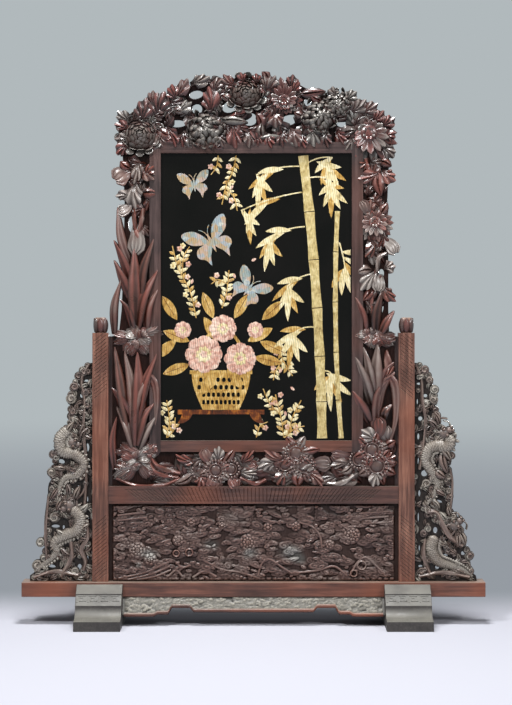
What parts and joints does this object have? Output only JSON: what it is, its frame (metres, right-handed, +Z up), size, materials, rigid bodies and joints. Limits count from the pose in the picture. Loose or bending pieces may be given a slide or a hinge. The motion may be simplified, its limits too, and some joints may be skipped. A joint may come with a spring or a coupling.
{
  "type": "inlaid lacquer screen",
  "caption": "Standing floor screen: an inlaid black lacquer panel in a pierced, carved wood frame that lifts out of a stand with carved wings, a relief panel and sledge feet.",
  "frame": {"origin": "on the floor, midway between the two feet in X and Y", "axes": "+X to the viewer's right, +Y away from the viewer (the inlaid face is -Y), +Z up"},
  "size_m": [1.574, 0.4, 1.88],
  "materials": {
    "rosewood": "polished dark hardwood",
    "black_lacquer": "polished lacquer",
    "bone": "polished bone",
    "amber_shell": "polished shell",
    "tortoiseshell": "polished shell",
    "pink_shell": "polished shell",
    "mother_of_pearl": "iridescent",
    "brass": "aged brass"
  },
  "bodies": {
    "stand": {"left_foot": "rosewood", "right_foot": "rosewood", "base_rail": "rosewood", "left_post": "rosewood", "right_post": "rosewood", "left_finial": "rosewood", "right_finial": "rosewood", "middle_rail": "rosewood", "lower_panel": "rosewood", "front_apron": "rosewood", "rear_apron": "rosewood", "left_wing": "rosewood", "right_wing": "rosewood"},
    "framed_panel": {"frame_left_stile": "rosewood", "frame_right_stile": "rosewood", "frame_top_rail": "rosewood", "frame_bottom_rail": "rosewood", "crest": "rosewood", "left_border": "rosewood", "right_border": "rosewood", "bottom_border": "rosewood", "left_runner": "rosewood", "right_runner": "rosewood", "top_bead": "rosewood", "bottom_bead": "rosewood", "left_bead": "rosewood", "right_bead": "rosewood", "lacquer_panel": "black_lacquer", "bead_screws": "brass", "inlay_bamboo": "bone", "inlay_bone_leaves": "bone", "inlay_shell_leaves": "amber_shell", "inlay_stand": "tortoiseshell", "inlay_basket": "bone", "inlay_peonies": "pink_shell", "inlay_peony_hearts": "mother_of_pearl", "inlay_hearts_and_petals": "bone", "inlay_peony_leaves": "amber_shell", "inlay_butterflies": "mother_of_pearl"}
  },
  "joints": [
    {"name": "panel_lift", "type": "slide", "parent": "stand", "child": "framed_panel", "axis": [0, 0, 1], "range_m": [0, 0.53]}
  ]
}
